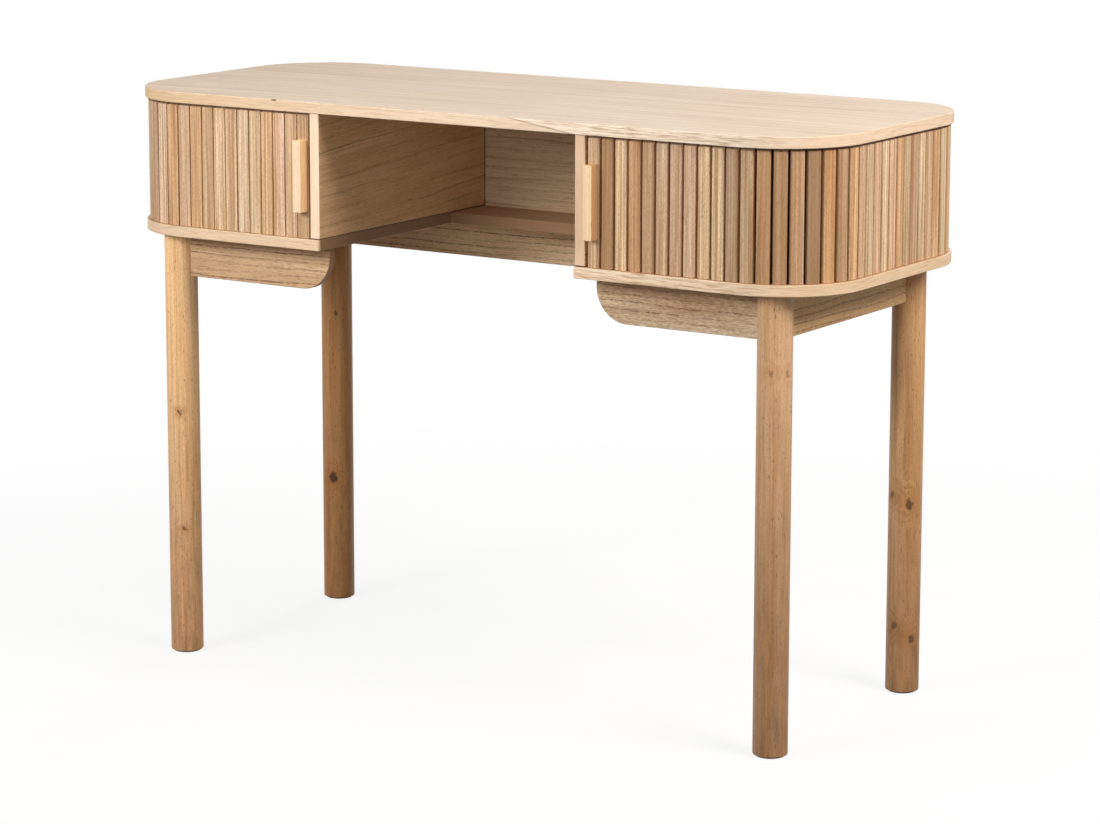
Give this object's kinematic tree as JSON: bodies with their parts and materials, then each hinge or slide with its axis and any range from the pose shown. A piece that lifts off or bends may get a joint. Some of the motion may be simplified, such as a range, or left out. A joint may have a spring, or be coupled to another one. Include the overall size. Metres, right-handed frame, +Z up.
{
  "type": "tambour desk",
  "caption": "Writing desk with a round-cornered top, an open kneehole between cabinets with sliding tambour doors, bar handles and straight round legs.",
  "frame": {"origin": "on the floor, at the middle of the desk's overall length and of its depth with the handles", "axes": "+X to the right as seen from the front, +Y to the rear, +Z up; the front faces -Y"},
  "size_m": [1.1, 0.461, 0.79],
  "materials": {
    "veneer_board": "matt lacquered veneer",
    "leg_wood": "satin lacquered solid wood",
    "slat_wood": "matt solid wood",
    "handle_wood": "satin lacquered solid wood",
    "dowel_wood": "bare beech",
    "canvas": "dark brown cotton canvas",
    "felt": "pressed brown felt",
    "zinc_steel": "zinc plated"
  },
  "bodies": {
    "desk": {"desk_top": "veneer_board", "base_board": "veneer_board", "left_divider": "veneer_board", "right_divider": "veneer_board", "back_panel": "veneer_board", "left_front_apron": "veneer_board", "right_front_apron": "veneer_board", "left_side_apron": "veneer_board", "right_side_apron": "veneer_board", "rear_apron": "veneer_board", "front_left_leg": "leg_wood", "front_right_leg": "leg_wood", "rear_left_leg": "leg_wood", "rear_right_leg": "leg_wood", "leg_bolts": "zinc_steel", "foot_glides": "felt", "carcass_screws": "zinc_steel", "top_dowels": "dowel_wood", "apron_dowels": "dowel_wood"},
    "right_lead": {"right_lead_slat": "slat_wood", "right_handle": "handle_wood", "right_handle_screws": "zinc_steel", "right_canvas": "canvas"},
    "right_slats_02_03": {"right_slats_02_03": "slat_wood"},
    "right_slats_04_05": {"right_slats_04_05": "slat_wood"},
    "right_slats_06_07": {"right_slats_06_07": "slat_wood"},
    "right_slats_08_09": {"right_slats_08_09": "slat_wood"},
    "right_slats_10_11": {"right_slats_10_11": "slat_wood"},
    "right_slats_12_13": {"right_slats_12_13": "slat_wood"},
    "right_slats_14_15": {"right_slats_14_15": "slat_wood"},
    "right_slats_16_17": {"right_slats_16_17": "slat_wood"},
    "right_slats_18_19": {"right_slats_18_19": "slat_wood"},
    "right_slats_20_21_22": {"right_slats_20_21_22": "slat_wood"},
    "right_slats_23_24_25": {"right_slats_23_24_25": "slat_wood"},
    "right_slats_26_27_28": {"right_slats_26_27_28": "slat_wood"},
    "right_slats_29_30": {"right_slats_29_30": "slat_wood"},
    "right_slats_31_32_33": {"right_slats_31_32_33": "slat_wood"},
    "right_slats_34_35": {"right_slats_34_35": "slat_wood"},
    "right_slats_36_37": {"right_slats_36_37": "slat_wood"},
    "left_lead": {"left_lead_slat": "slat_wood", "left_handle": "handle_wood", "left_handle_screws": "zinc_steel", "left_canvas": "canvas"},
    "left_slats_02_03": {"left_slats_02_03": "slat_wood"},
    "left_slats_04_05": {"left_slats_04_05": "slat_wood"},
    "left_slats_06_07": {"left_slats_06_07": "slat_wood"},
    "left_slats_08_09": {"left_slats_08_09": "slat_wood"},
    "left_slats_10_11": {"left_slats_10_11": "slat_wood"},
    "left_slats_12_13": {"left_slats_12_13": "slat_wood"},
    "left_slats_14_15": {"left_slats_14_15": "slat_wood"},
    "left_slats_16_17": {"left_slats_16_17": "slat_wood"},
    "left_slats_18_19": {"left_slats_18_19": "slat_wood"},
    "left_slats_20_21_22": {"left_slats_20_21_22": "slat_wood"},
    "left_slats_23_24_25": {"left_slats_23_24_25": "slat_wood"},
    "left_slats_26_27_28": {"left_slats_26_27_28": "slat_wood"},
    "left_slats_29_30": {"left_slats_29_30": "slat_wood"},
    "left_slats_31_32_33": {"left_slats_31_32_33": "slat_wood"},
    "left_slats_34_35": {"left_slats_34_35": "slat_wood"},
    "left_slats_36_37": {"left_slats_36_37": "slat_wood"}
  },
  "joints": [
    {"name": "right_door_slide", "type": "slide", "parent": "desk", "child": "right_lead", "axis": [1, 0, 0], "range_m": [0, 0.2], "deforming": ["right_canvas"]},
    {"name": "right_slats_02_03_swing", "type": "hinge", "parent": "desk", "child": "right_slats_02_03", "pos_m": [0.34366, 0.73357, 0.69], "axis": [0, 0, 1], "range_deg": [0, 12.14]},
    {"name": "right_slats_04_05_swing", "type": "hinge", "parent": "desk", "child": "right_slats_04_05", "pos_m": [0.36519, 0.11984, 0.69], "axis": [0, 0, 1], "range_deg": [0, 34.18]},
    {"name": "right_slats_06_07_swing", "type": "hinge", "parent": "desk", "child": "right_slats_06_07", "pos_m": [0.38554, -0.01297, 0.69], "axis": [0, 0, 1], "range_deg": [0, 56.21]},
    {"name": "right_slats_08_09_swing", "type": "hinge", "parent": "desk", "child": "right_slats_08_09", "pos_m": [0.40569, -0.06908, 0.69], "axis": [0, 0, 1], "range_deg": [0, 78.25]},
    {"name": "right_slats_10_11_swing", "type": "hinge", "parent": "desk", "child": "right_slats_10_11", "pos_m": [0.41668, -0.08618, 0.69], "axis": [0, 0, 1], "range_deg": [0, 90.02]},
    {"name": "right_slats_12_13_swing", "type": "hinge", "parent": "desk", "child": "right_slats_12_13", "pos_m": [0.39897, -0.07487, 0.69], "axis": [0, 0, 1], "range_deg": [0, 77.9]},
    {"name": "right_slats_14_15_swing", "type": "hinge", "parent": "desk", "child": "right_slats_14_15", "pos_m": [0.34219, -0.05471, 0.69], "axis": [0, 0, 1], "range_deg": [0, 55.86]},
    {"name": "right_slats_16_17_swing", "type": "hinge", "parent": "desk", "child": "right_slats_16_17", "pos_m": [0.20714, -0.03436, 0.69], "axis": [0, 0, 1], "range_deg": [0, 33.83]},
    {"name": "right_slats_18_19_swing", "type": "hinge", "parent": "desk", "child": "right_slats_18_19", "pos_m": [-0.43135, -0.01277, 0.69], "axis": [0, 0, 1], "range_deg": [0, 11.79]},
    {"name": "right_slats_20_21_22_swing", "type": "hinge", "parent": "desk", "child": "right_slats_20_21_22", "pos_m": [-1.37983, 0.01015, 0.69], "axis": [0, 0, 1], "range_deg": [0, 5.99]},
    {"name": "right_slats_23_24_25_swing", "type": "hinge", "parent": "desk", "child": "right_slats_23_24_25", "pos_m": [0.2439, 0.04789, 0.69], "axis": [0, 0, 1], "range_deg": [0, 37.83]},
    {"name": "right_slats_26_27_28_swing", "type": "hinge", "parent": "desk", "child": "right_slats_26_27_28", "pos_m": [0.38552, 0.07889, 0.69], "axis": [0, 0, 1], "range_deg": [0, 70.89]},
    {"name": "right_slats_29_30_swing", "type": "hinge", "parent": "desk", "child": "right_slats_29_30", "pos_m": [0.41668, 0.09718, 0.69], "axis": [0, 0, 1], "range_deg": [0, 90.02]},
    {"name": "right_slats_31_32_33_swing", "type": "hinge", "parent": "desk", "child": "right_slats_31_32_33", "pos_m": [0.40149, 0.07303, 0.69], "axis": [0, 0, 1], "range_deg": [0, 74.24]},
    {"name": "right_slats_34_35_swing", "type": "hinge", "parent": "desk", "child": "right_slats_34_35", "pos_m": [0.37679, -0.01784, 0.69], "axis": [0, 0, 1], "range_deg": [0, 46.7]},
    {"name": "right_slats_36_37_swing", "type": "hinge", "parent": "desk", "child": "right_slats_36_37", "pos_m": [0.35623, -0.23973, 0.69], "axis": [0, 0, 1], "range_deg": [0, 24.66]},
    {"name": "left_door_slide", "type": "slide", "parent": "desk", "child": "left_lead", "axis": [-1, 0, 0], "range_m": [0, 0.2], "deforming": ["left_canvas"]},
    {"name": "left_slats_02_03_swing", "type": "hinge", "parent": "desk", "child": "left_slats_02_03", "pos_m": [-0.34366, 0.73357, 0.69], "axis": [0, 0, -1], "range_deg": [0, 12.14]},
    {"name": "left_slats_04_05_swing", "type": "hinge", "parent": "desk", "child": "left_slats_04_05", "pos_m": [-0.36519, 0.11984, 0.69], "axis": [0, 0, -1], "range_deg": [0, 34.18]},
    {"name": "left_slats_06_07_swing", "type": "hinge", "parent": "desk", "child": "left_slats_06_07", "pos_m": [-0.38554, -0.01297, 0.69], "axis": [0, 0, -1], "range_deg": [0, 56.21]},
    {"name": "left_slats_08_09_swing", "type": "hinge", "parent": "desk", "child": "left_slats_08_09", "pos_m": [-0.40569, -0.06908, 0.69], "axis": [0, 0, -1], "range_deg": [0, 78.25]},
    {"name": "left_slats_10_11_swing", "type": "hinge", "parent": "desk", "child": "left_slats_10_11", "pos_m": [-0.41668, -0.08618, 0.69], "axis": [0, 0, -1], "range_deg": [0, 90.02]},
    {"name": "left_slats_12_13_swing", "type": "hinge", "parent": "desk", "child": "left_slats_12_13", "pos_m": [-0.39897, -0.07487, 0.69], "axis": [0, 0, -1], "range_deg": [0, 77.9]},
    {"name": "left_slats_14_15_swing", "type": "hinge", "parent": "desk", "child": "left_slats_14_15", "pos_m": [-0.34219, -0.05471, 0.69], "axis": [0, 0, -1], "range_deg": [0, 55.86]},
    {"name": "left_slats_16_17_swing", "type": "hinge", "parent": "desk", "child": "left_slats_16_17", "pos_m": [-0.20714, -0.03436, 0.69], "axis": [0, 0, -1], "range_deg": [0, 33.83]},
    {"name": "left_slats_18_19_swing", "type": "hinge", "parent": "desk", "child": "left_slats_18_19", "pos_m": [0.43135, -0.01277, 0.69], "axis": [0, 0, -1], "range_deg": [0, 11.79]},
    {"name": "left_slats_20_21_22_swing", "type": "hinge", "parent": "desk", "child": "left_slats_20_21_22", "pos_m": [1.37983, 0.01015, 0.69], "axis": [0, 0, -1], "range_deg": [0, 5.99]},
    {"name": "left_slats_23_24_25_swing", "type": "hinge", "parent": "desk", "child": "left_slats_23_24_25", "pos_m": [-0.2439, 0.04789, 0.69], "axis": [0, 0, -1], "range_deg": [0, 37.83]},
    {"name": "left_slats_26_27_28_swing", "type": "hinge", "parent": "desk", "child": "left_slats_26_27_28", "pos_m": [-0.38552, 0.07889, 0.69], "axis": [0, 0, -1], "range_deg": [0, 70.89]},
    {"name": "left_slats_29_30_swing", "type": "hinge", "parent": "desk", "child": "left_slats_29_30", "pos_m": [-0.41668, 0.09718, 0.69], "axis": [0, 0, -1], "range_deg": [0, 90.02]},
    {"name": "left_slats_31_32_33_swing", "type": "hinge", "parent": "desk", "child": "left_slats_31_32_33", "pos_m": [-0.40149, 0.07303, 0.69], "axis": [0, 0, -1], "range_deg": [0, 74.24]},
    {"name": "left_slats_34_35_swing", "type": "hinge", "parent": "desk", "child": "left_slats_34_35", "pos_m": [-0.37679, -0.01784, 0.69], "axis": [0, 0, -1], "range_deg": [0, 46.7]},
    {"name": "left_slats_36_37_swing", "type": "hinge", "parent": "desk", "child": "left_slats_36_37", "pos_m": [-0.35623, -0.23973, 0.69], "axis": [0, 0, -1], "range_deg": [0, 24.66]}
  ],
  "couplings": [
    {"joint": "right_slats_02_03_swing", "follows": "right_door_slide", "rad_per_m": 1.0577},
    {"joint": "right_slats_04_05_swing", "follows": "right_door_slide", "rad_per_m": 2.9808},
    {"joint": "right_slats_06_07_swing", "follows": "right_door_slide", "rad_per_m": 4.9038},
    {"joint": "right_slats_08_09_swing", "follows": "right_door_slide", "rad_per_m": 6.8269},
    {"joint": "right_slats_10_11_swing", "follows": "right_door_slide", "rad_per_m": 7.854},
    {"joint": "right_slats_12_13_swing", "follows": "right_door_slide", "rad_per_m": 6.7963},
    {"joint": "right_slats_14_15_swing", "follows": "right_door_slide", "rad_per_m": 4.8732},
    {"joint": "right_slats_16_17_swing", "follows": "right_door_slide", "rad_per_m": 2.9501},
    {"joint": "right_slats_18_19_swing", "follows": "right_door_slide", "rad_per_m": 1.0271},
    {"joint": "right_slats_20_21_22_swing", "follows": "right_door_slide", "rad_per_m": 0.52068},
    {"joint": "right_slats_23_24_25_swing", "follows": "right_door_slide", "rad_per_m": 3.2999},
    {"joint": "right_slats_26_27_28_swing", "follows": "right_door_slide", "rad_per_m": 6.1845},
    {"joint": "right_slats_29_30_swing", "follows": "right_door_slide", "rad_per_m": 7.854},
    {"joint": "right_slats_31_32_33_swing", "follows": "right_door_slide", "rad_per_m": 6.4772},
    {"joint": "right_slats_34_35_swing", "follows": "right_door_slide", "rad_per_m": 4.0733},
    {"joint": "right_slats_36_37_swing", "follows": "right_door_slide", "rad_per_m": 2.1503},
    {"joint": "left_slats_02_03_swing", "follows": "left_door_slide", "rad_per_m": 1.0577},
    {"joint": "left_slats_04_05_swing", "follows": "left_door_slide", "rad_per_m": 2.9808},
    {"joint": "left_slats_06_07_swing", "follows": "left_door_slide", "rad_per_m": 4.9038},
    {"joint": "left_slats_08_09_swing", "follows": "left_door_slide", "rad_per_m": 6.8269},
    {"joint": "left_slats_10_11_swing", "follows": "left_door_slide", "rad_per_m": 7.854},
    {"joint": "left_slats_12_13_swing", "follows": "left_door_slide", "rad_per_m": 6.7963},
    {"joint": "left_slats_14_15_swing", "follows": "left_door_slide", "rad_per_m": 4.8732},
    {"joint": "left_slats_16_17_swing", "follows": "left_door_slide", "rad_per_m": 2.9501},
    {"joint": "left_slats_18_19_swing", "follows": "left_door_slide", "rad_per_m": 1.0271},
    {"joint": "left_slats_20_21_22_swing", "follows": "left_door_slide", "rad_per_m": 0.52068},
    {"joint": "left_slats_23_24_25_swing", "follows": "left_door_slide", "rad_per_m": 3.2999},
    {"joint": "left_slats_26_27_28_swing", "follows": "left_door_slide", "rad_per_m": 6.1845},
    {"joint": "left_slats_29_30_swing", "follows": "left_door_slide", "rad_per_m": 7.854},
    {"joint": "left_slats_31_32_33_swing", "follows": "left_door_slide", "rad_per_m": 6.4772},
    {"joint": "left_slats_34_35_swing", "follows": "left_door_slide", "rad_per_m": 4.0733},
    {"joint": "left_slats_36_37_swing", "follows": "left_door_slide", "rad_per_m": 2.1503}
  ]
}
